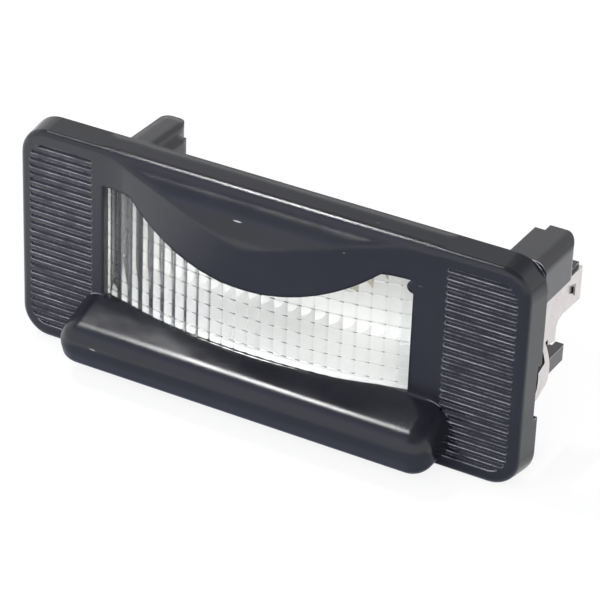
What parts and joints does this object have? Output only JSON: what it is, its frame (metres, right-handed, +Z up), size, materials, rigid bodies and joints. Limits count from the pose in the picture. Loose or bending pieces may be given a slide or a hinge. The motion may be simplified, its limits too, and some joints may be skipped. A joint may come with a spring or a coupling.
{
  "type": "number plate lamp",
  "caption": "Long clip-in number plate lamp: black moulded flange with ribbed ends, a bowed visor over a patterned clear lens, a rounded bar below, and a spring clip, hook and terminals behind.",
  "frame": {"origin": "centre of the flange's rear seat plane", "axes": "+X along the lamp, +Z up, -Y out of the lamp's face, +Y through the panel to the back"},
  "size_m": [0.11, 0.0373, 0.0466],
  "materials": {
    "black_plastic": "semi-gloss black moulding",
    "clear_lens": "clear, with a fine pattern inside",
    "clip_steel": "bright spring strip",
    "white_plastic": "matt white moulding",
    "contact_brass": "dull strip",
    "rivet_metal": "satin",
    "bulb_glass": "clear",
    "cap_metal": "nickel-plated, satin",
    "filament_wire": "dark wire",
    "lead_wire": "plain wire"
  },
  "bodies": {
    "root": {"housing": "black_plastic", "lens": "clear_lens", "spring_clip": "clip_steel", "bulb_carrier": "white_plastic", "contact_left": "contact_brass", "contact_right": "contact_brass", "rivet_left": "rivet_metal", "rivet_right": "rivet_metal", "bulb_glass": "bulb_glass", "bulb_cap_left": "cap_metal", "bulb_cap_right": "cap_metal", "bulb_filament": "filament_wire", "lead_left": "lead_wire", "lead_right": "lead_wire"}
  },
  "joints": []
}
